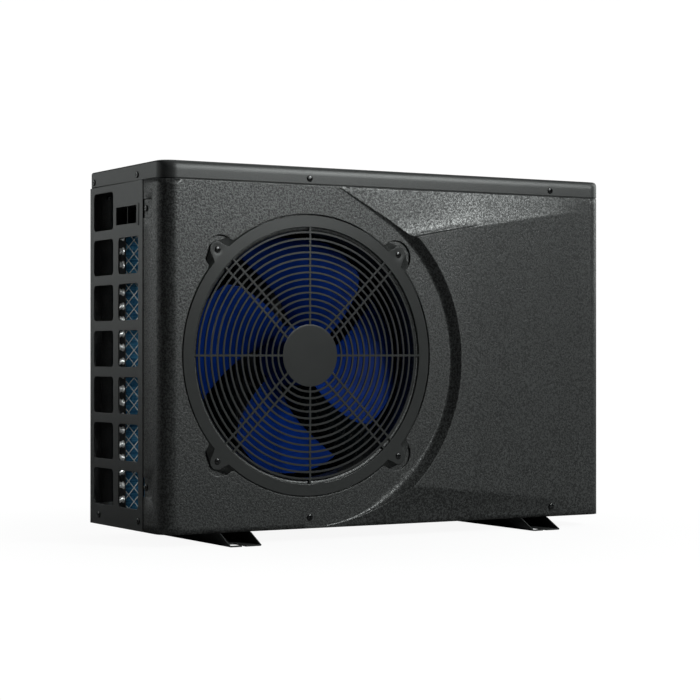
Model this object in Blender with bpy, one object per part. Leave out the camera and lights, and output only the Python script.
"""Horizontal-discharge swimming-pool heat pump, as an assembly of separate pieces.

World frame: +X to the right seen from the front, the fan side faces -Y, +Z up.
The origin is the centre of the bounding box's footprint, on the ground.
Sizes are millimetres. Points are written in casing coordinates: x from the
casing's left side, y back from its front plane, z up from its bottom edge.
world() turns them into world metres.
"""
import math

import bmesh
import bpy
from mathutils import Vector
from mathutils.geometry import delaunay_2d_cdt

# ---------------------------------------------------------------- dimensions
MM = 0.001
GAP = 0.3                                     # clearance between neighbouring pieces
CASE_W, CASE_D, CASE_H = 874.0, 294.0, 600.0  # casing without feet
FOOT_H = 20.7                                 # ground to casing bottom
FRONT_R = 27.0                                # rounded front vertical corners
SHEET = 2.0                                   # wall of front panel, cover and pan
SEAM_Z = 570.6                                # bottom edge of the top cover
PANEL_TOP = SEAM_Z - GAP
FLANGE_Y = 75.0                               # front panel wraps round to here
SCREW_OUT = 2.0                               # screw heads stand out of the side
PORT_OUT = 54.0                               # union nuts stand out of the right side

FAN_X, FAN_Z = 269.2, 286.6                   # fan axis
BLADE_FRONT_Y, BLADE_REAR_Y = 39.0, 89.0      # depth of the two edges of a blade
FAN_Y = (BLADE_FRONT_Y + BLADE_REAR_Y) / 2
EAR_ANGLES = (45, 135, 225, 315)              # screw ears of the fan guard, degrees
EAR_AT = 242.4                                # fan axis to ear centre

PORT_Y, PORT_Z = 195.0, (120.0, 300.0)        # water inlet and outlet
GLAND_Y, GLAND_Z = 110.0, 60.0
DISPLAY_Y, DISPLAY_Z = (112.0, 252.0), (432.0, 514.0)

COIL_X, COIL_Y, COIL_Z = (42.0, 532.0), (240.0, 284.0), (8.0, 560.0)
COIL_PIPE_Y = (COIL_Y[0] + COIL_Y[1]) / 2
COIL_GAS_Z, COIL_LIQUID_Z = 500.0, 60.0

ORIGIN_X = -((CASE_W + PORT_OUT) - SCREW_OUT) / 2.0
ORIGIN_Y = -CASE_D / 2.0
X_AXIS, Y_AXIS, Z_AXIS = (1, 0, 0), (0, 1, 0), (0, 0, 1)


def world(x, y, z):
    """World point, in metres, of a casing point."""
    return Vector(((x + ORIGIN_X) * MM, (y + ORIGIN_Y) * MM, (z + FOOT_H) * MM))


def around_fan(radius, angle):
    """Casing (x, z) at a radius and an angle in radians about the fan axis."""
    return FAN_X + radius * math.cos(angle), FAN_Z + radius * math.sin(angle)


def fan_point(radius, angle, y):
    x, z = around_fan(radius, angle)
    return world(x, y, z)


for old_object in list(bpy.data.objects):
    bpy.data.objects.remove(old_object, do_unlink=True)


# ----------------------------------------------------------------- materials
def new_material(name, rgb, roughness, metallic=0.0):
    material = bpy.data.materials.new(name)
    material.use_nodes = True
    shader = material.node_tree.nodes["Principled BSDF"]
    shader.inputs["Base Color"].default_value = (*rgb, 1.0)
    shader.inputs["Roughness"].default_value = roughness
    shader.inputs["Metallic"].default_value = metallic
    material.diffuse_color = (*rgb, 1.0)
    return material


CHARCOAL = new_material("charcoal_grain", rgb=(0.032, 0.034, 0.034), roughness=0.45)
SATIN = new_material("guard_satin", rgb=(0.026, 0.027, 0.027), roughness=0.35)
BLUE = new_material("fan_blue", rgb=(0.006, 0.018, 0.22), roughness=0.25)
BLACK = new_material("black_plastic", rgb=(0.012, 0.012, 0.013), roughness=0.5)
FOOT_BLACK = new_material("foot_black", rgb=(0.014, 0.014, 0.014), roughness=0.45)
SCREW_BLACK = new_material("screw_black", rgb=(0.05, 0.05, 0.05), roughness=0.3, metallic=1.0)
ZINC = new_material("galvanised", rgb=(0.5, 0.51, 0.52), roughness=0.45, metallic=1.0)
FINS = new_material("coated_fins", rgb=(0.02, 0.13, 0.22), roughness=0.4, metallic=0.3)
COPPER = new_material("copper", rgb=(0.72, 0.33, 0.2), roughness=0.3, metallic=1.0)
BRASS = new_material("brass", rgb=(0.7, 0.52, 0.24), roughness=0.35, metallic=1.0)
TUBE_SHEET = new_material("tube_sheet", rgb=(0.75, 0.75, 0.74), roughness=0.25, metallic=1.0)
RUBBER = new_material("rubber", rgb=(0.02, 0.02, 0.02), roughness=0.8)
CIRCUIT = new_material("circuit_board", rgb=(0.02, 0.12, 0.05), roughness=0.5)
LENS = new_material("display_lens", rgb=(0.01, 0.012, 0.014), roughness=0.1)
VESSEL_BLACK = new_material("compressor_black", rgb=(0.02, 0.02, 0.022), roughness=0.4)


# ------------------------------------------------------------------- helpers
def finish(mesh, name, material=None, smooth_angle=None, origin=None):
    """Turn a bmesh in world metres into an object; origin is a casing point."""
    bmesh.ops.remove_doubles(mesh, verts=mesh.verts, dist=2e-6)
    bmesh.ops.recalc_face_normals(mesh, faces=mesh.faces)
    location = world(*origin) if origin else Vector((0, 0, 0))
    for vertex in mesh.verts:
        vertex.co -= location
    data = bpy.data.meshes.new(name)
    mesh.to_mesh(data)
    mesh.free()
    if smooth_angle:
        data.shade_smooth()
        data.set_sharp_from_angle(angle=math.radians(smooth_angle))
    piece = bpy.data.objects.new(name, data)
    piece.location = location
    bpy.context.scene.collection.objects.link(piece)
    if material:
        data.materials.append(material)
    return piece


def loft(mesh, rings, closed=False, caps=True):
    """Skin equal-length rings; closed joins the last to the first."""
    rows = [[mesh.verts.new(point) for point in ring] for ring in rings]
    count = len(rings[0])
    for i in range(len(rows) if closed else len(rows) - 1):
        here, there = rows[i], rows[(i + 1) % len(rows)]
        for k in range(count):
            m = (k + 1) % count
            mesh.faces.new((here[k], here[m], there[m], there[k]))
    if caps and not closed:
        mesh.faces.new(list(reversed(rows[0])))
        mesh.faces.new(rows[-1])


def axis_frame(axis):
    """Unit vector along the axis and two unit vectors square to it."""
    along = Vector(axis).normalized()
    side = Vector(Z_AXIS) if abs(along.z) < 0.9 else Vector(X_AXIS)
    side = (side - along * side.dot(along)).normalized()
    return along, side, along.cross(side)


def circle(centre, side, other, radius, segments, phase=0.0):
    ring = []
    for k in range(segments):
        angle = 2 * math.pi * (k + phase) / segments
        ring.append(centre + (side * math.cos(angle) + other * math.sin(angle)) * (radius * MM))
    return ring


def revolve_into(mesh, base, axis, profile, segments, closed=False):
    """profile: (radius, distance along the axis) from the casing point base."""
    along, side, other = axis_frame(axis)
    centre = world(*base)
    loft(mesh, [[point + along * (distance * MM)
                 for point in circle(centre, side, other, radius, segments, phase=0.5)]
                for radius, distance in profile], closed)


def revolve(name, base, axis, profile, segments, material=None, closed=False,
            smooth_angle=35, origin=None):
    mesh = bmesh.new()
    revolve_into(mesh, base, axis, profile, segments, closed)
    return finish(mesh, name, material, smooth_angle, origin)


def box_into(mesh, low, high):
    (x0, y0, z0), (x1, y1, z1) = low, high
    corners = ((x0, y0), (x1, y0), (x1, y1), (x0, y1))
    loft(mesh, [[world(x, y, z) for x, y in corners] for z in (z0, z1)])


def boxes(name, pairs, material=None):
    mesh = bmesh.new()
    for low, high in pairs:
        box_into(mesh, low, high)
    return finish(mesh, name, material)


def box(name, low, high, material=None, origin=None):
    mesh = bmesh.new()
    box_into(mesh, low, high)
    return finish(mesh, name, material, origin=origin)


def plane_point(plane, first, second, depth):
    if plane == "yz":
        return world(depth, first, second)
    if plane == "xz":
        return world(first, depth, second)
    return world(first, second, depth)


def prism_into(mesh, outline, plane, low, high):
    """Extrude an outline in the 'yz', 'xz' or 'xy' plane along the third axis."""
    loft(mesh, [[plane_point(plane, *point, depth) for point in outline]
                for depth in (low, high)])


def prism(name, outline, plane, low, high, material):
    mesh = bmesh.new()
    prism_into(mesh, outline, plane, low, high)
    return finish(mesh, name, material)


def corner_arcs(corners, steps):
    """Outline of quarter arcs; corners: (centre, centre, radius, start in degrees)."""
    points = []
    for across, up, radius, start in corners:
        for k in range(steps + 1):
            angle = math.radians(start + 90.0 * k / steps)
            points.append((across + radius * math.cos(angle), up + radius * math.sin(angle)))
    return points


def round_rect(x0, x1, z0, z1, radius, steps):
    left, right, low, high = x0 + radius, x1 - radius, z0 + radius, z1 - radius
    return corner_arcs(((right, high, radius, 0), (left, high, radius, 90),
                        (left, low, radius, 180), (right, low, radius, 270)), steps)


def mirrored(outline):
    """Plan outline reflected to the casing's other side."""
    return [(CASE_W - x, y) for x, y in outline]


def boolean(piece, tool, operation):
    tool.hide_render = True
    tool.display_type = "WIRE"
    modifier = piece.modifiers.new(operation.lower(), "BOOLEAN")
    modifier.operation = operation
    modifier.solver = "EXACT"
    modifier.object = tool


def cut(piece, tool):
    boolean(piece, tool, "DIFFERENCE")


def join(piece, tool):
    boolean(piece, tool, "UNION")


def pipe(name, corners, radius, bend):
    """Copper pipe along a polyline whose corners are rounded to the bend radius."""
    segments, bend_steps = 6, 3
    points = [world(*corner) for corner in corners]
    path = [points[0]]
    for before, corner, after in zip(points, points[1:], points[2:]):
        back, ahead = (before - corner).normalized(), (after - corner).normalized()
        half = back.angle(ahead) / 2
        setback = min(bend * MM / math.tan(half), (before - corner).length * 0.45,
                      (after - corner).length * 0.45)
        arc_radius = setback * math.tan(half)
        centre = corner + (back + ahead).normalized() * (arc_radius / math.sin(half))
        start = (corner + back * setback - centre).normalized()
        end = (corner + ahead * setback - centre).normalized()
        for k in range(bend_steps + 1):
            path.append(centre + start.slerp(end, k / bend_steps) * arc_radius)
    path.append(points[-1])
    tangents = [(path[min(len(path) - 1, i + 1)] - path[max(0, i - 1)]).normalized()
                for i in range(len(path))]
    side = axis_frame(tangents[0])[1]
    rings = []
    for point, tangent in zip(path, tangents):
        side = (side - tangent * side.dot(tangent)).normalized()
        rings.append(circle(point, side, tangent.cross(side), radius, segments))
    mesh = bmesh.new()
    loft(mesh, rings)
    finish(mesh, name, COPPER, smooth_angle=50)


# -------------------------------------------------------- screws and their holes
COVER_SCREW_Z, BOTTOM_SCREW_Z = 580.2, 18.2
FLANGE_SEAT_X = 1.2                           # depth of the pockets in the left flange
HOLE_R, HOLE_DEPTH = 2.75, 16.0
HOLES = {"front_panel": [], "left_grille_panel": [], "top_cover": [], "base_pan": [],
         "fan_guard": []}


def screw(name, at, out, through):
    """Pan-head screw; `at` is on the outer face, `out` points out of it."""
    revolve(name, at, out, [(2.3, -11.0), (2.3, GAP), (5.4, GAP), (4.7, SCREW_OUT)], 8,
            SCREW_BLACK, smooth_angle=30)
    for target in through:
        HOLES[target].append((at, out))


def drill(piece):
    """Cut the holes of every screw that passes through the piece."""
    mesh = bmesh.new()
    for at, out in HOLES[piece.name]:
        revolve_into(mesh, at, out, [(HOLE_R, -HOLE_DEPTH), (HOLE_R, 6.0)], 8)
    cut(piece, finish(mesh, "cut_" + piece.name + "_screws"))


def build_screws():
    front, left = (0, -1, 0), (-1, 0, 0)
    # the right bottom screw stands further forward, over the raised face
    for i, (x, bottom_y) in enumerate(((268.2, 0.0), (758.0, -3.5)), 1):
        screw(f"cover_screw_front_{i}", (x, 0, COVER_SCREW_Z), front, ["top_cover"])
        screw(f"panel_screw_bottom_{i}", (x, bottom_y, BOTTOM_SCREW_Z), front,
              ["front_panel", "base_pan"])
    for i, (cover_y, bottom_y) in enumerate(((97.8, 93.0), (276.0, 255.0)), 1):
        screw(f"cover_screw_left_{i}", (0, cover_y, COVER_SCREW_Z + 1.8), left, ["top_cover"])
        screw(f"grille_screw_bottom_{i}", (0, bottom_y, BOTTOM_SCREW_Z - 2), left,
              ["left_grille_panel", "base_pan"])
    for i, z in enumerate((525.0, 73.0), 1):
        screw(f"flange_screw_left_{i}", (FLANGE_SEAT_X, 65.0, z), left, ["front_panel"])
    for i, degrees in enumerate(EAR_ANGLES, 1):
        x, z = around_fan(EAR_AT, math.radians(degrees))
        screw(f"guard_screw_{i}", (x, 0.6, z), front, ["fan_guard", "front_panel"])


# ------------------------------------------------------- front panel's relief
ARC_X, ARC_Z, ARC_R = 269.0, 279.6, 277.5     # foot of the drafted wall round the fan
WALL_RUN, PLATEAU_H = 12.5, 16.0              # the wall's run outwards and its height
WALL_START, WALL_SWEEP = -74, 154.0           # degrees
PLATEAU_X0, PLATEAU_X1 = 570.0, 840.0         # plateau falls to the front plane between these
RIDGE_X, RIDGE_RUN = 480.0, 360.0             # the ridges' left end and length in x
RIDGE_TOP_Z, RIDGE_TOP_RISE, RIDGE_TOP_BOW = 490.8, 58.2, 9.0
RIDGE_BOTTOM_Z, RIDGE_BOTTOM_FALL = 62.0, 38.0
FACET_H, FACET_GAIN, FACET_GAIN_RUN = 9.6, 4.6, 120.0  # upper facet's height at the ridge
FACET_POWER = 1.2                             # scoop of both facets


def ridge_top(x):
    """Lower edge of the upper facet, falling towards the fan."""
    along = (x - RIDGE_X) / RIDGE_RUN
    return RIDGE_TOP_Z + RIDGE_TOP_RISE * along + RIDGE_TOP_BOW * along * (1 - along)


def ridge_bottom(x):
    """Upper edge of the lower facet."""
    return RIDGE_BOTTOM_Z - RIDGE_BOTTOM_FALL * (x - RIDGE_X) / RIDGE_RUN


def plateau(x):
    if x <= PLATEAU_X0:
        return PLATEAU_H
    return PLATEAU_H * max(0.0, 1 - (x - PLATEAU_X0) / (PLATEAU_X1 - PLATEAU_X0))


def facet_top(x, z):
    """Scooped facet from the cover's seam down to the ridge."""
    fall = min(1.0, max(0.0, (SEAM_Z - z) / (SEAM_Z - ridge_top(x))))
    gain = min(1.0, max(0.0, (x - RIDGE_X) / FACET_GAIN_RUN))
    return min(plateau(x), FACET_H + FACET_GAIN * gain) * fall ** FACET_POWER


def facet_bottom(x, z):
    """Scooped facet from the bottom edge up to the ridge."""
    return plateau(x) * min(1.0, max(0.0, z / ridge_bottom(x))) ** FACET_POWER


def arc_distance(x, z):
    return math.hypot(x - ARC_X, z - ARC_Z)


def relief(x, z):
    """How far the face stands forward of the front plane."""
    distance = arc_distance(x, z)
    if distance <= ARC_R + 1e-6 or x < ARC_X:
        return 0.0
    height = min(plateau(x), (distance - ARC_R) * PLATEAU_H / WALL_RUN)
    if z > ridge_top(x) + 1e-6:
        height = min(height, facet_top(x, z))
    if z < ridge_bottom(x) - 1e-6:
        height = min(height, facet_bottom(x, z))
    return height


# ---------------------------------------------------------------- front panel
RECESS_R, RECESS_DEPTH = 234.4, 3.6           # seat of the guard ring
SEAT_STEP = 0.4                               # radial run of the seat's edge
EAR_SEAT_R, EAR_SEAT_AT = 28.8, 235.2         # pockets for the guard's ears
BELL_R, THROAT_R, THROAT_Y = 212.0, 205.0, 42.0
BELL_SEGMENTS = 36
# stations of the panel's edges across and up
PANEL_XS = [FRONT_R, 110.0, 190.0, 268.0, 320.0, 400.0, 480.0, 560.0, 640.0, 720.0, 790.0,
            CASE_W - FRONT_R]
PANEL_ZS = [0.0, 62.0, 110.0, 200.0, 290.0, 380.0, 470.0, 520.0, PANEL_TOP]
# seat outline stations in degrees: even steps, and a finer set across each ear
SEAT_ANGLES = sorted(set(
    [round(k * 11.25, 3) for k in range(32) if k % 8 != 4]
    + [round(ear + offset, 3) for ear in EAR_ANGLES
       for offset in (-6.95, -6.4, -5, -2.6, 0, 2.6, 5, 6.4, 6.95)]))


def seat_radius(degrees, grow):
    """Outline of the guard's seat: a circle with four ear pockets."""
    best = RECESS_R + grow
    pocket = EAR_SEAT_R + grow
    for ear in EAR_ANGLES:
        offset = math.radians((degrees - ear + 180) % 360 - 180)
        aside = EAR_SEAT_AT * math.sin(offset)
        if abs(offset) < 0.5 and abs(aside) < pocket:
            best = max(best, EAR_SEAT_AT * math.cos(offset)
                       + math.sqrt(pocket * pocket - aside * aside))
    return best


def skin_layout(inset):
    """Points and constraint edges of one face of the panel, in x and z."""
    points, edges = [], []

    def add_line(line, closed=True):
        start, count = len(points), len(line)
        points.extend(Vector(point) for point in line)
        for k in range(count if closed else count - 1):
            edges.append((start + k, start + (k + 1) % count))

    x0, x1 = PANEL_XS[0], PANEL_XS[-1]
    add_line([(x, 0.0) for x in PANEL_XS] + [(x1, z) for z in PANEL_ZS[1:]]
             + [(x, PANEL_TOP) for x in reversed(PANEL_XS[:-1])]
             + [(x0, z) for z in reversed(PANEL_ZS[1:-1])])
    for step in (0.0, SEAT_STEP):
        add_line([around_fan(seat_radius(degrees, inset) - step, math.radians(degrees))
                  for degrees in SEAT_ANGLES])
    add_line([around_fan(BELL_R + inset, 2 * math.pi * k / BELL_SEGMENTS)
              for k in range(BELL_SEGMENTS)])

    # foot and head of the drafted wall
    steps = 12 if inset else 22
    for radius in (ARC_R, ARC_R + WALL_RUN):
        line = []
        for k in range(steps + 1):
            angle = math.radians(WALL_START + WALL_SWEEP * k / steps)
            z = ARC_Z + radius * math.sin(angle)
            if 3 < z < PANEL_TOP - 3:
                line.append((ARC_X + radius * math.cos(angle), z))
        add_line(line, closed=False)

    # ridges, the upper one drawn as a narrow step
    wall_head = ARC_R + WALL_RUN
    for ridge, lift in ((ridge_top, 0.0), (ridge_top, 1.2), (ridge_bottom, 0.0)):
        stations = [490 + 44.0 * k for k in range(9)]
        add_line([(x, ridge(x) + lift) for x in stations
                  if arc_distance(x, ridge(x)) > wall_head + 1], closed=False)

    # loose points on the outside that carry the curve of the facets and plateau
    if not inset:
        for x in (440, 500, 560, 620, 680, 740, 800):
            for z in (ridge_top(x) * .45 + SEAM_Z * .55, ridge_top(x) * .2 + SEAM_Z * .8,
                      ridge_bottom(x) * .5):
                if arc_distance(x, z) > wall_head + 4:
                    points.append(Vector((x, z)))
        for z in (150, 220, 290, 360, 430):
            points.append(Vector((PLATEAU_X0, z)))
            points.append(Vector((PLATEAU_X1, z)))
    return points, edges


def add_skin(mesh, inset):
    """Triangulate one face of the panel: inset 0 outside, SHEET inside."""
    points, edges = skin_layout(inset)
    flat, _, faces, _, _, _ = delaunay_2d_cdt(points, edges, [], 0, 1e-4)
    vertices = []
    for point in flat:
        across, up = point.x - FAN_X, point.y - FAN_Z
        degrees = math.degrees(math.atan2(up, across)) % 360
        in_seat = math.hypot(across, up) < seat_radius(degrees, inset) - SEAT_STEP / 2
        y = RECESS_DEPTH if in_seat else -relief(point.x, point.y)
        vertices.append(mesh.verts.new(world(point.x, y + inset, point.y)))
    # leave the fan opening empty
    opening = (BELL_R + inset) * math.cos(math.pi / BELL_SEGMENTS) - 0.5
    for face in faces:
        middle = sum((flat[i] for i in face), Vector((0, 0))) / 3
        if math.hypot(middle.x - FAN_X, middle.y - FAN_Z) > opening:
            mesh.faces.new([vertices[i] for i in face])


def flange_path(inset):
    """Plan view of the left rounded corner and side flange, from x = FRONT_R."""
    radius = FRONT_R - inset
    points = []
    for k in range(5):
        angle = math.radians(90.0 * k / 4)
        points.append((FRONT_R - radius * math.sin(angle), FRONT_R - radius * math.cos(angle)))
    points.append((inset, FLANGE_Y - GAP / 2))
    return points


def add_quad(mesh, *corners):
    mesh.faces.new([mesh.verts.new(world(*corner)) for corner in corners])


def add_strip(mesh, start, end):
    """Upright strip between two plan points, over the panel's height."""
    for low, high in zip(PANEL_ZS, PANEL_ZS[1:]):
        add_quad(mesh, (*start, low), (*end, low), (*end, high), (*start, high))


def add_panel_edges(mesh):
    """Close the panel's top and bottom edges and the ends of its flanges."""
    outer, inner = flange_path(0.0), flange_path(SHEET)
    sides = ((outer, inner), (mirrored(outer), mirrored(inner)))
    for z in (PANEL_ZS[0], PANEL_ZS[-1]):
        for outside, inside in sides:
            for k in range(len(outer) - 1):
                corners = (outside[k], outside[k + 1], inside[k + 1], inside[k])
                add_quad(mesh, *[(x, y, z) for x, y in corners])
        for x0, x1 in zip(PANEL_XS, PANEL_XS[1:]):
            y0, y1 = -relief(x0, z), -relief(x1, z)
            add_quad(mesh, (x0, y0, z), (x1, y1, z), (x1, y1 + SHEET, z), (x0, y0 + SHEET, z))
    for outside, inside in sides:
        add_strip(mesh, outside[-1], inside[-1])


def add_bell_mouth(mesh):
    """Bell mouth and throat of the fan opening."""
    profile = [  # (radius, y)
        (BELL_R, RECESS_DEPTH), (207.0, RECESS_DEPTH + 2.4), (THROAT_R, RECESS_DEPTH + 8.0),
        (THROAT_R, THROAT_Y), (THROAT_R + SHEET, THROAT_Y),
        (THROAT_R + SHEET, RECESS_DEPTH + 8.6), (208.4, RECESS_DEPTH + 4.2),
        (BELL_R + SHEET, RECESS_DEPTH + SHEET)]
    loft(mesh, [[fan_point(radius, 2 * math.pi * k / BELL_SEGMENTS, y)
                 for k in range(BELL_SEGMENTS)] for radius, y in profile], caps=False)


def build_front_panel():
    mesh = bmesh.new()
    for inset in (0.0, SHEET):
        add_skin(mesh, inset)
        path = flange_path(inset)
        for flange in (path, mirrored(path)):
            for start, end in zip(flange, flange[1:]):
                add_strip(mesh, start, end)
    add_panel_edges(mesh)
    add_bell_mouth(mesh)
    panel = finish(mesh, "front_panel", CHARCOAL, smooth_angle=30)
    # two shallow pockets in the left flange seat its screws
    cut(panel, boxes("cut_flange_tabs", [((-5, 39, z0), (FLANGE_SEAT_X, 90, z1))
                                         for z0, z1 in ((510, 540), (57, 89))]))
    drill(panel)


# ------------------------------------------------------ side and rear panels
PANEL_T = 2.5
REAR_Y = 291.2                                # front face of the rear lips
LIP_W = 20.0                                  # side panels turn in along the rear
SIDE_OUTLINE = [  # plan view of the left panel, (x, y)
    (0, FLANGE_Y + GAP / 2), (PANEL_T, FLANGE_Y + GAP / 2), (PANEL_T, REAR_Y),
    (LIP_W, REAR_Y), (LIP_W, CASE_D), (0, CASE_D)]
# rows of grille windows, (bottom, top), from the top down
WINDOW_ROWS = [(498.0, 561.0), (421.8, 481.8), (345.0, 405.0), (267.8, 328.0),
               (189.8, 250.6), (112.4, 173.2), (34.8, 96.0)]
LEFT_WINDOW_YS = ((94.8, 174.0), (196.0, 277.0))
REAR_WINDOW_X, REAR_WINDOW_PITCH, REAR_WINDOW_W = 44.0, 98.4, 80.0
GRIP_Y, GRIP_Z = (102.0, 183.0), (504.0, 532.8)
GRIP_WALL = 3
STUB_HOLE_R, GLAND_HOLE_R = 26.6, 8.6


def build_left_panel():
    left = prism("left_grille_panel", SIDE_OUTLINE, "xy", 0.0, PANEL_TOP, CHARCOAL)
    mesh = bmesh.new()
    for row, (z0, z1) in enumerate(WINDOW_ROWS):
        for column, (y0, y1) in enumerate(LEFT_WINDOW_YS):
            if row == 0 and column == 0:
                continue                      # the hand grip is here
            prism_into(mesh, round_rect(y0, y1, z0, z1, 7.2, 2), "yz", -6, 9)
    box_into(mesh, (-6, GRIP_Y[0], GRIP_Z[0]), (9, GRIP_Y[1], GRIP_Z[1]))
    cut(left, finish(mesh, "cut_left_windows"))
    join(left, box("add_left_strip", (-1.0, 90.0, 499.5), (1.0, 97.6, 535.8)))
    drill(left)


def build_hand_grip():
    """Cup behind the grip opening, with one rib standing in it."""
    grip = box("handgrip_left", (2.8, GRIP_Y[0] - GRIP_WALL, GRIP_Z[0] - GRIP_WALL),
               (36.0, GRIP_Y[1] + GRIP_WALL, GRIP_Z[1] + GRIP_WALL), BLACK)
    cut(grip, boxes("cut_grip", [((-4, y0, GRIP_Z[0]), (34.0, y1, GRIP_Z[1]))
                                 for y0, y1 in ((GRIP_Y[0], 133.6), (136.4, GRIP_Y[1]))]))


def build_right_panel():
    """Service panel with openings for display, ports, cable gland and a slot."""
    right = prism("right_service_panel", mirrored(SIDE_OUTLINE), "xy", 0.0, PANEL_TOP, CHARCOAL)
    inside, outside = CASE_W - 9, CASE_W + 9
    mesh = bmesh.new()
    box_into(mesh, (inside, DISPLAY_Y[0] + 6, DISPLAY_Z[0] + 6),
             (outside, DISPLAY_Y[1] - 6, DISPLAY_Z[1] - 6))
    for z in PORT_Z:
        revolve_into(mesh, (inside, PORT_Y, z), X_AXIS, [(STUB_HOLE_R, 0), (STUB_HOLE_R, 20)], 20)
    revolve_into(mesh, (inside, GLAND_Y, GLAND_Z), X_AXIS,
                 [(GLAND_HOLE_R, 0), (GLAND_HOLE_R, 20)], 12)
    box_into(mesh, (inside, 110.0, 526.0), (outside, 190.0, 552.0))
    cut(right, finish(mesh, "cut_right_openings"))


def build_rear_panel():
    rear = box("rear_grille_panel", (LIP_W + GAP, REAR_Y, 0.0),
               (CASE_W - (LIP_W + GAP), REAR_Y + PANEL_T, PANEL_TOP), CHARCOAL)
    mesh = bmesh.new()
    for z0, z1 in WINDOW_ROWS:
        for k in range(5):
            x0 = REAR_WINDOW_X + k * REAR_WINDOW_PITCH
            outline = round_rect(x0, x0 + REAR_WINDOW_W, z0, z1, 6.0, 1)
            prism_into(mesh, outline, "xz", 284, 300)
    cut(rear, finish(mesh, "cut_rear_windows"))


# ---------------------------------------------- top cover, base pan, divider
TOP_FILLET = 8.5
COVER_D = 290.0
DIVIDER_X = 545.0


def plan_outline(inset, rear_r, depth):
    """Rounded plan outline of the casing, inset by a distance."""
    front, rear = FRONT_R - inset, max(0.5, rear_r - inset)
    x0, x1, y0, y1 = inset, CASE_W - inset, inset, depth - inset
    return corner_arcs(((x1 - rear, y1 - rear, rear, 0), (x0 + rear, y1 - rear, rear, 90),
                        (x0 + front, y0 + front, front, 180),
                        (x1 - front, y0 + front, front, 270)), 4)


def plan_shell(name, stations, rear_r, depth, material):
    """Open shell lofted through (inset, z) stations and drilled for its screws."""
    mesh = bmesh.new()
    loft(mesh, [[world(x, y, z) for x, y in plan_outline(inset, rear_r, depth)]
                for inset, z in stations])
    drill(finish(mesh, name, material, smooth_angle=40))


def build_top_cover():
    stations = [  # (inset, z), up the outside last
        (SHEET + 7.5, CASE_H - SHEET), (SHEET + 1.0, CASE_H - 6.5),
        (SHEET, CASE_H - TOP_FILLET - SHEET), (SHEET, SEAM_Z), (0.0, SEAM_Z),
        (0.0, CASE_H - TOP_FILLET), (2.5, CASE_H - 2.5), (TOP_FILLET, CASE_H)]
    plan_shell("top_cover", stations, 3.0, COVER_D, CHARCOAL)


def build_base_pan():
    outer, rim_z = 2.8, 34.0
    inner = outer + SHEET
    stations = [(inner, GAP + SHEET), (inner, rim_z), (outer, rim_z), (outer, GAP)]
    plan_shell("base_pan", stations, 4.0, CASE_D - 0.8, ZINC)


def build_divider():
    """Upright plate right of the coil, with holes for the coil's two pipes."""
    plate = box("divider_plate", (DIVIDER_X, 5.6, 2.8), (DIVIDER_X + 1.5, 287.6, 566.0), ZINC)
    mesh = bmesh.new()
    for z in (COIL_GAS_Z, COIL_LIQUID_Z):
        revolve_into(mesh, (DIVIDER_X - 5, COIL_PIPE_Y, z), X_AXIS, [(9.0, 0), (9.0, 12)], 10)
    cut(plate, finish(mesh, "cut_divider"))


# ----------------------------------------------------------------- foot rails
FOOT_TIP = 36.0                               # foot ends stand out front and rear
FOOT_W, FOOT_T = 57.0, 2.0
FOOT_XS = {"foot_rail_left": 102.0, "foot_rail_right": 695.0}  # left wall of each rail


def foot_end_cuts(name, x0, x1, y0, y1):
    """Cutter through the rail's floor at its front end and, mirrored, its rear end."""
    return boxes(name, [((x0, low, -FOOT_H - 4), (x1, high, -FOOT_H + 3.0))
                        for low, high in ((y0, y1), (CASE_D - y1, CASE_D - y0))])


def build_foot_rail(name, rail_x):
    bottom, floor, top = -FOOT_H, -FOOT_H + FOOT_T, -GAP
    outline = [  # side view, (y, z)
        (-FOOT_TIP, bottom), (CASE_D + FOOT_TIP, bottom), (CASE_D + FOOT_TIP, floor),
        (CASE_D - 2.0, top), (2.0, top), (-FOOT_TIP, floor)]
    rail = prism(name, outline, "yz", rail_x, rail_x + FOOT_W, FOOT_BLACK)
    cut(rail, box("cut_channel_" + name, (rail_x + FOOT_T, -60, floor),
                  (rail_x + FOOT_W - FOOT_T, CASE_D + 60, 10)))
    cut(rail, foot_end_cuts("cut_slots_" + name, rail_x + 5.0, rail_x + 30.0, -28.0, 6.0))
    # a narrow notch opens each slot to the rail's end
    cut(rail, foot_end_cuts("cut_notches_" + name, rail_x + 21.5, rail_x + 29.0, -60.0, -27.0))


# ------------------------------------------------------------------ fan guard
GUARD_OUT, GUARD_IN, GUARD_T = 232.8, 212.7, 2.6
DISC_R = 51.6
RING_FIRST, RING_PITCH, RING_COUNT, WIRE_W = 60.0, 11.118, 14, 2.6
SPOKE_W, PAIR_OFFSET = 3.3, 9.6               # paired spokes stand off a diagonal
BAY_STEPS = 2                                 # steps across the bays between spoke groups
EAR_R, EAR_ROOT, EAR_LAP = 15.6, 22, 0.15


def guard_row(radius):
    """Angles once round at a radius, and whether a spoke starts at each."""
    half = SPOKE_W / 2
    spans = []                                # (start, end, first of a pair)
    for eighth in range(8):
        centre = math.radians(45.0 * eighth)
        for offset in (0.0,) if eighth % 2 == 0 else (-PAIR_OFFSET, PAIR_OFFSET):
            spans.append((centre + math.asin((offset - half) / radius),
                          centre + math.asin((offset + half) / radius), offset < 0))
    angles, on_spoke = [], []
    for i, (start, end, pair) in enumerate(spans):
        following = spans[i + 1][0] if i + 1 < len(spans) else spans[0][0] + 2 * math.pi
        angles.append(start)
        on_spoke.append(True)
        steps = 1 if pair else BAY_STEPS
        for k in range(steps):
            angles.append(end + (following - end) * k / steps)
            on_spoke.append(False)
    return angles, on_spoke


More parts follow.
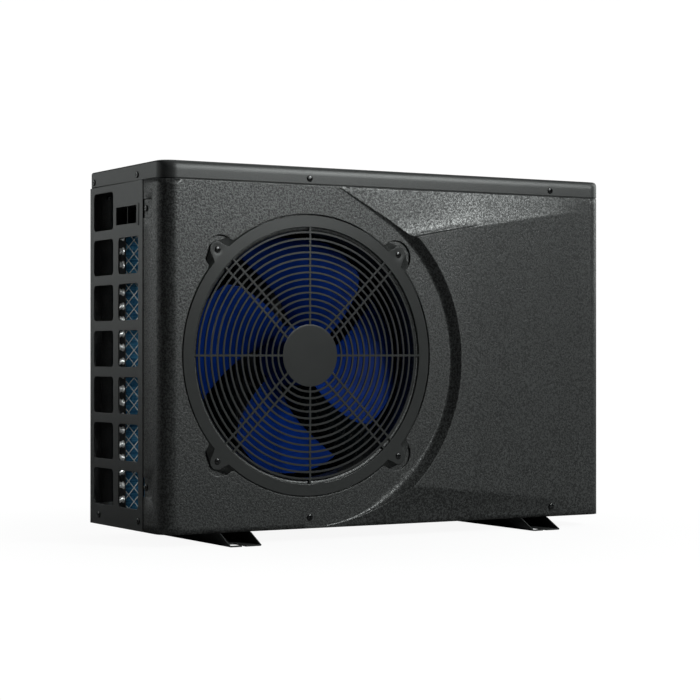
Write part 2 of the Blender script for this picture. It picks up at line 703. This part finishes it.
def build_guard_grid():
    """Centre disc, wire rings, outer ring and spokes as one mesh."""
    radii = [DISC_R]
    for k in range(RING_COUNT):
        middle = RING_FIRST + RING_PITCH * k
        radii += [middle - WIRE_W / 2, middle + WIRE_W / 2]
    radii += [GUARD_IN, GUARD_OUT]
    rows = [guard_row(radius)[0] for radius in radii]
    on_spoke = guard_row(DISC_R)[1]
    count = len(on_spoke)
    mesh = bmesh.new()
    front, back = [[[mesh.verts.new(fan_point(radius, angle, y)) for angle in row]
                    for radius, row in zip(radii, rows)] for y in (GAP, GAP + GUARD_T)]

    def solid(i, k):
        """Is there metal between radii i and i + 1, at angle step k?"""
        if i < 0:
            return True                       # centre disc
        if i >= len(radii) - 1:
            return False                      # outside
        return i % 2 == 1 or on_spoke[k % count]

    def add_wall(start, end):
        """Wall from front to back between two (radius, angle) nodes."""
        (i, k), (j, m) = start, end
        mesh.faces.new((front[i][k], front[j][m], back[j][m], back[i][k]))

    mesh.faces.new(front[0])
    mesh.faces.new(list(reversed(back[0])))
    for i in range(len(radii) - 1):
        for k in range(count):
            if not solid(i, k):
                continue
            j, m = i + 1, (k + 1) % count
            mesh.faces.new((front[i][k], front[j][k], front[j][m], front[i][m]))
            mesh.faces.new((back[i][m], back[j][m], back[j][k], back[i][k]))
            if not solid(i, k - 1):
                add_wall((j, k), (i, k))
            if not solid(i, k + 1):
                add_wall((i, m), (j, m))
            if not solid(i - 1, k):
                add_wall((i, k), (i, m))
            if not solid(i + 1, k):
                add_wall((j, m), (j, k))
    for k in range(count):
        if not solid(0, k):
            add_wall((0, (k + 1) % count), (0, k))
    return finish(mesh, "fan_guard", SATIN, smooth_angle=35)


def build_fan_guard():
    guard = build_guard_grid()
    mesh = bmesh.new()
    for degrees in EAR_ANGLES:
        angle = math.radians(degrees)
        centre = fan_point(EAR_AT, angle, 0)
        outward = Vector((math.cos(angle), 0, math.sin(angle)))
        across = Vector((-outward.z, 0, outward.x))
        outline = [(EAR_R * math.cos(turn), EAR_R * math.sin(turn))
                   for turn in (math.radians(-90 + 22.5 * k) for k in range(9))]
        outline += [(-EAR_ROOT, EAR_R), (-EAR_ROOT, -EAR_R)]
        loft(mesh, [[centre + outward * (out * MM) + across * (aside * MM)
                     + Vector((0, y * MM, 0)) for out, aside in outline]
                    for y in (GAP + EAR_LAP, GAP + GUARD_T - EAR_LAP)])
    join(guard, finish(mesh, "add_guard_ears"))
    drill(guard)


# ----------------------------------------------------------------- impeller
FAN_ORIGIN = (FAN_X, FAN_Y, FAN_Z)
FAN_TIP_R, HUB_R, BLADES = 198.0, 50.0, 4
BLADE_ROOT_R = 44.0
BLADE_HALF_T = 1.3
SHAFT_R = 6.0


def blade_point(span, chord, turn):
    """Radius, angle and y: span 0..1 root to tip, chord 0..1 front to rear edge."""
    radius = BLADE_ROOT_R + (FAN_TIP_R - BLADE_ROOT_R) * span
    # degrees of the two edges as they sweep round with radius
    front = 33.0 + 0.139 * (radius - 77.0)
    rear = 83.0 + 50.5 * (1 - math.exp(-(radius - 58.0) / 110.0))
    if span > 0.75 and chord < 0.3:           # round the front tip corner
        radius -= 17.0 * (0.3 - chord) / 0.3 * (span - 0.75) / 0.25
    angle = math.radians(turn + front + (rear - front) * chord)
    camber = 6.0 * math.sin(math.pi * chord)
    y = BLADE_FRONT_Y + (BLADE_REAR_Y - BLADE_FRONT_Y) * chord - camber
    return radius, angle, y


def build_blade(number, turn):
    span_steps = chord_steps = 4
    chords = [k / chord_steps for k in range(chord_steps + 1)]
    section = ([(chord, -BLADE_HALF_T) for chord in chords]
               + [(chord, BLADE_HALF_T) for chord in reversed(chords)])
    rings = []
    for i in range(span_steps + 1):
        ring = []
        for chord, offset in section:
            radius, angle, y = blade_point(i / span_steps, chord, turn)
            ring.append(fan_point(radius, angle, y + offset))
        rings.append(ring)
    mesh = bmesh.new()
    loft(mesh, rings)
    return finish(mesh, f"add_blade_{number}")


def build_impeller():
    bore = SHAFT_R + GAP
    profile = [(36.0, -29.0), (46.0, -26.0), (HUB_R, -19.0), (HUB_R, 26.0), (HUB_R - 4, 26.0),
               (HUB_R - 4, -15.0), (8.0, -15.0), (8.0, 20.0), (bore, 20.0), (bore, -29.0)]
    impeller = revolve("fan_impeller", FAN_ORIGIN, Y_AXIS, profile, 20, BLUE, closed=True,
                       origin=FAN_ORIGIN)
    for i in range(BLADES):
        join(impeller, build_blade(i + 1, 360.0 / BLADES * i))


def build_shaft_and_nut():
    revolve("fan_shaft", FAN_ORIGIN, Y_AXIS,
            [(SHAFT_R - 1, -46.0), (SHAFT_R, -44.0), (SHAFT_R, 88.0)], 12, ZINC,
            origin=FAN_ORIGIN)
    revolve("fan_nut", FAN_ORIGIN, Y_AXIS,
            [(7.2, -38.0), (10.5, -38.0), (10.5, -29.3), (7.2, -29.3)], 6, ZINC, closed=True,
            smooth_angle=None, origin=FAN_ORIGIN)


# --------------------------------------------------------- motor and its stand
def build_motor():
    profile = [(14.0, 96.0), (14.0, 108.0), (48.0, 110.0), (52.0, 114.0), (52.0, 176.0),
               (48.0, 182.0)]
    motor = revolve("fan_motor", (FAN_X, 0, FAN_Z), Y_AXIS, profile, 20, BLACK)
    cut(motor, revolve("cut_motor_bore", (FAN_X, 80.0, FAN_Z), Y_AXIS,
                       [(6.7, 0), (6.7, 76.0)], 12))


def build_motor_stand():
    """Two uprights joined by the motor plate, a top tie and a foot plate."""
    stand = box("motor_bracket", (FAN_X - 44, 183.0, 3.0), (FAN_X - 22, 189.0, 566.0), ZINC)
    parts = (
        ("add_stand_b", (FAN_X + 22, 183.0, 3.0), (FAN_X + 44, 189.0, 566.0)),
        ("add_stand_c", (FAN_X - 30, 182.6, FAN_Z - 52), (FAN_X + 30, 188.6, FAN_Z + 52)),
        ("add_stand_d", (FAN_X - 30, 183.4, 540.0), (FAN_X + 30, 188.6, 560.0)),
        ("add_stand_e", (FAN_X - 60, 170.0, 2.8), (FAN_X + 60, 210.0, 5.0)))
    for name, low, high in parts:
        join(stand, box(name, low, high))


# ----------------------------------------------------------------- evaporator
BEND_PITCH = 23.5                             # between the two legs of a return bend
BEND_COUNT, BEND_TUBE_R = 11, 5.0


def build_evaporator():
    box("evaporator_coil", *zip(COIL_X, COIL_Y, COIL_Z), FINS)
    sheet = box("evaporator_tube_sheet", (COIL_X[0] - 2.0, COIL_Y[0] - 2, COIL_Z[0] - 3),
                (COIL_X[0] - GAP, COIL_Y[1] + 2, COIL_Z[1] + 3), TUBE_SHEET)
    into_sheet = Vector((3.2 * MM, 0, 0))
    mesh = bmesh.new()
    for k in range(BEND_COUNT):
        middle_z = 30.0 + k * 2 * BEND_PITCH
        rings = []
        for i in range(6):
            turn = math.radians(-90 + 36.0 * i)
            centre = world(COIL_X[0] - 4.0 - math.cos(turn) * BEND_PITCH * .5,
                           COIL_Y[0] + 7.0, middle_z + math.sin(turn) * BEND_PITCH * .5)
            outward = Vector((-math.cos(turn), 0, math.sin(turn)))
            rings.append(circle(centre, outward, Vector(Y_AXIS), BEND_TUBE_R, 6))
        first = [point + into_sheet for point in rings[0]]
        last = [point + into_sheet for point in rings[-1]]
        loft(mesh, [first] + rings + [last])
    join(sheet, finish(mesh, "add_return_bends"))


# ------------------------------------------------------- refrigerant circuit
COMPRESSOR_X, COMPRESSOR_Y, COMPRESSOR_TOP = 640.0, 108.0, 300.0
ACCUMULATOR_X, ACCUMULATOR_Y, ACCUMULATOR_TOP = 735.0, 62.0, 238.0
VALVE_X, VALVE_Y, VALVE_Z = 660.0, 104.0, 408.0
VALVE_PORT_PITCH, VALVE_PORT_REACH = 24, 22.0
EXPANSION_X, EXPANSION_Y, EXPANSION_Z = 610.0, 210.0, 100.0
EXCHANGER_X, EXCHANGER_R, EXCHANGER_TOP = 790.0, 74.0, 430.4


def build_compressor():
    revolve("compressor", (COMPRESSOR_X, COMPRESSOR_Y, 0), Z_AXIS,
            [(20, 12.0), (82, 14.0), (82, 17.0), (60, 17.6), (62, 24.0), (62, 250.0),
             (56, 272.0), (36, 288.0), (8.0, 292.0), (8.0, COMPRESSOR_TOP)], 16, VESSEL_BLACK)
    for i in range(3):
        angle = math.radians(90 + 120 * i)
        at = (COMPRESSOR_X + 72 * math.cos(angle), COMPRESSOR_Y + 72 * math.sin(angle), 0)
        revolve(f"compressor_grommet_{i + 1}", at, Z_AXIS,
                [(12, 2.6), (9, 8.0), (12, 13.2)], 10, RUBBER)
    revolve("suction_accumulator", (ACCUMULATOR_X, ACCUMULATOR_Y, 0), Z_AXIS,
            [(12, 70.0), (31, 80.0), (31, 218.0), (14, 230.0), (8, 231.0),
             (8, ACCUMULATOR_TOP)], 16, VESSEL_BLACK)


def build_reversing_valve():
    """Four-way valve lying along x: one port below and three above."""
    valve = revolve("reversing_valve", (VALVE_X - 44, VALVE_Y, VALVE_Z), X_AXIS,
                    [(8, 0), (13, 3), (13, 85), (8, 88)], 12, BRASS)
    ports = ((0, -1), (-VALVE_PORT_PITCH, 1), (0, 1), (VALVE_PORT_PITCH, 1))
    for i, (offset, direction) in enumerate(ports):
        join(valve, revolve(f"add_port_{i}", (VALVE_X + offset, VALVE_Y, VALVE_Z),
                            (0, 0, direction), [(6.5, 4), (6.5, VALVE_PORT_REACH)], 8))


def build_gas_pipes():
    below = VALVE_Z - VALVE_PORT_REACH - 0.4
    above = VALVE_Z + VALVE_PORT_REACH + 0.4
    pipe("discharge_pipe",
         [(COMPRESSOR_X, COMPRESSOR_Y, COMPRESSOR_TOP + 0.4), (COMPRESSOR_X, COMPRESSOR_Y, 340),
          (VALVE_X, VALVE_Y, 350), (VALVE_X, VALVE_Y, below)], radius=5.0, bend=14)
    run_z = VALVE_Z + 48
    pipe("suction_pipe",
         [(VALVE_X, VALVE_Y, above), (VALVE_X, VALVE_Y, run_z), (VALVE_X, 58, run_z),
          (ACCUMULATOR_X, 58, run_z), (ACCUMULATOR_X, ACCUMULATOR_Y, ACCUMULATOR_TOP + 0.5)],
         radius=6.5, bend=11)
    port_x, run_z = VALVE_X - VALVE_PORT_PITCH, VALVE_Z + 60
    pipe("coil_gas_pipe",
         [(port_x, VALVE_Y, above), (port_x, VALVE_Y, run_z), (590, COIL_PIPE_Y, run_z),
          (590, COIL_PIPE_Y, COIL_GAS_Z), (COIL_X[1] + 0.6, COIL_PIPE_Y, COIL_GAS_Z)],
         radius=6.5, bend=14)
    port_x, run_z = VALVE_X + VALVE_PORT_PITCH, VALVE_Z + 54
    pipe("exchanger_gas_pipe",
         [(port_x, VALVE_Y, above), (port_x, VALVE_Y, run_z), (EXCHANGER_X, PORT_Y, run_z),
          (EXCHANGER_X, PORT_Y, EXCHANGER_TOP + 0.6)], radius=6.5, bend=12)


def build_liquid_line():
    """Expansion valve with its pipes to the coil and to the exchanger."""
    revolve("expansion_valve", (EXPANSION_X, EXPANSION_Y, EXPANSION_Z), Z_AXIS,
            [(8, 0), (12, 1), (12, 26), (17, 27), (17, 60), (10, 62)], 12, BRASS)
    pipe("coil_liquid_pipe",
         [(EXPANSION_X, EXPANSION_Y, EXPANSION_Z - 0.4),
          (EXPANSION_X, EXPANSION_Y, COIL_LIQUID_Z), (EXPANSION_X, COIL_PIPE_Y, COIL_LIQUID_Z),
          (COIL_X[1] + 0.6, COIL_PIPE_Y, COIL_LIQUID_Z)], radius=4.8, bend=12)
    pipe("liquid_pipe",
         [(EXPANSION_X + 14, EXPANSION_Y, 112), (706, 232, 112), (706, 232, 8.0),
          (EXCHANGER_X, PORT_Y, 8.0), (EXCHANGER_X, PORT_Y, 14.6)], radius=4.2, bend=5)


# ------------------------------------------------------ water heat exchanger
def build_heat_exchanger():
    revolve("heat_exchanger", (EXCHANGER_X, PORT_Y, 0), Z_AXIS,
            [(30, 15.0), (68, 18.0), (EXCHANGER_R, 26.0), (EXCHANGER_R, 400.0), (68, 410.0),
             (30, 414.0), (12, 415.0), (12, EXCHANGER_TOP)], 18, BLACK)


def build_water_port(kind, z):
    """Flanged stub through the right panel, and the union nut round it."""
    at = (CASE_W, PORT_Y, z)
    stub = [(26.0, -9.4), (26.0, .4), (33.0, .4), (33.0, 6.0), (26.0, 6.0), (26.0, 42.0),
            (21.0, 42.0), (21.0, -9.4)]
    nut = [(26.9, 13.0), (37.0, 13.0), (38.5, 16.0), (38.5, 44.0), (35.0, PORT_OUT),
           (27.0, PORT_OUT)]
    revolve(f"water_{kind}_stub", at, X_AXIS, stub, 18, BLACK, closed=True)
    revolve(f"union_nut_{kind}", at, X_AXIS, nut, 18, BLACK, closed=True, origin=at)


# ---------------------------------------------------------------- electrics
def build_control_box():
    """Open-topped tray, notched for the pipes, with board and terminals in it."""
    tray = box("control_box", (570.0, 24.0, 472.0), (800.0, 190.0, 560.0), ZINC)
    cut(tray, box("cut_control_box", (571.5, 25.5, 473.5), (798.5, 188.5, 580.0)))
    cut(tray, box("cut_pipe_bay", (600.0, 84.0, 465.0), (690.0, 200.0, 580.0)))
    box("control_board", (700.0, 34.0, 478.0), (790.0, 178.0, 480.0), CIRCUIT)
    box("terminal_block", (580.0, 34.0, 473.8), (690.0, 62.0, 496.0), BLACK)


def build_cable_gland():
    revolve("cable_gland", (CASE_W - 12, GLAND_Y, GLAND_Z), X_AXIS,
            [(8.0, 0), (8.0, 12.3), (13.0, 12.3), (13.0, 22.0), (10.5, 31.0), (5.5, 33.0),
             (5.5, 60.0)], 12, BLACK)


# ------------------------------------------------------------------- display
DISPLAY_W = DISPLAY_Y[1] - DISPLAY_Y[0]
HINGE_X, HINGE_Z = CASE_W + 9.2, DISPLAY_Z[1] - 4.2
WINDOW_Y, WINDOW_Z = (126.0, 214.0), (442.0, 494.0)  # recess that holds the lens
BUTTON_Y = 230.0
BUTTONS = {"button_down": 448.0, "button_up": 467.0, "button_power": 486.0}  # name: z


def hinge_rod(inset, radius):
    """Base point and profile of a rod on the hinge line, short of both ends by inset."""
    return ((HINGE_X, DISPLAY_Y[0] + inset, HINGE_Z), Y_AXIS,
            [(radius, 0), (radius, DISPLAY_W - 2 * inset)])


def build_display_housing():
    (y0, y1), (z0, z1) = DISPLAY_Y, DISPLAY_Z
    housing = box("display_housing", (CASE_W - 18, y0 + 7, z0 + 7),
                  (CASE_W + 3, y1 - 7, z1 - 7), BLACK)
    join(housing, box("add_bezel", (CASE_W + .3, y0, z0), (CASE_W + 6.0, y1, z1)))
    join(housing, boxes("add_hinge_ears", [
        ((CASE_W + 4.0, low, z1 - 8), (CASE_W + 12.0, high, z1 - .4))
        for low, high in ((y0 + 1, y0 + 6), (y1 - 6, y1 - 1))]))
    # lens recess, button holes and hinge bore
    mesh = bmesh.new()
    box_into(mesh, (CASE_W + 2.0, WINDOW_Y[0], WINDOW_Z[0]),
             (CASE_W + 9.0, WINDOW_Y[1], WINDOW_Z[1]))
    for z in BUTTONS.values():
        revolve_into(mesh, (CASE_W - 6, BUTTON_Y, z), X_AXIS, [(6.5, 0), (6.5, 16)], 12)
    revolve_into(mesh, *hinge_rod(2.5, 1.9), 10)
    cut(housing, finish(mesh, "cut_display"))


def build_lens_and_buttons():
    box("display_lens", (CASE_W + 2.3, WINDOW_Y[0] + GAP, WINDOW_Z[0] + GAP),
        (CASE_W + 4.6, WINDOW_Y[1] - GAP, WINDOW_Z[1] - GAP), LENS)
    for name, z in BUTTONS.items():
        at = (CASE_W + 6.0, BUTTON_Y, z)
        revolve(name, at, X_AXIS, [(6.0, -9.0), (6.0, -0.2), (5.4, 0.5)], 12, BLACK, origin=at)


def build_display_lid():
    """Flip-up lid whose origin is on the hinge line."""
    lid = box("display_lid", (CASE_W + 7.4, DISPLAY_Y[0] + 8, DISPLAY_Z[0] + 4),
              (CASE_W + 9.8, DISPLAY_Y[1] - 8, HINGE_Z), LENS,
              origin=(HINGE_X, (DISPLAY_Y[0] + DISPLAY_Y[1]) / 2, HINGE_Z))
    join(lid, revolve("add_lid_barrel", *hinge_rod(7, 2.9), 12))
    join(lid, revolve("add_lid_pins", *hinge_rod(3, 1.5), 10))


# ------------------------------------------------------------------ assembly
build_screws()                                # first: the panels are drilled for them
build_front_panel()
build_left_panel()
build_hand_grip()
build_right_panel()
build_rear_panel()
build_top_cover()
build_base_pan()
build_divider()
for rail_name, rail_left in FOOT_XS.items():
    build_foot_rail(rail_name, rail_left)
build_fan_guard()
build_impeller()
build_shaft_and_nut()
build_motor()
build_motor_stand()
build_evaporator()
build_compressor()
build_reversing_valve()
build_gas_pipes()
build_liquid_line()
build_heat_exchanger()
for port_kind, port_z in zip(("inlet", "outlet"), PORT_Z):
    build_water_port(port_kind, port_z)
build_control_box()
build_cable_gland()
build_display_housing()
build_lens_and_buttons()
build_display_lid()
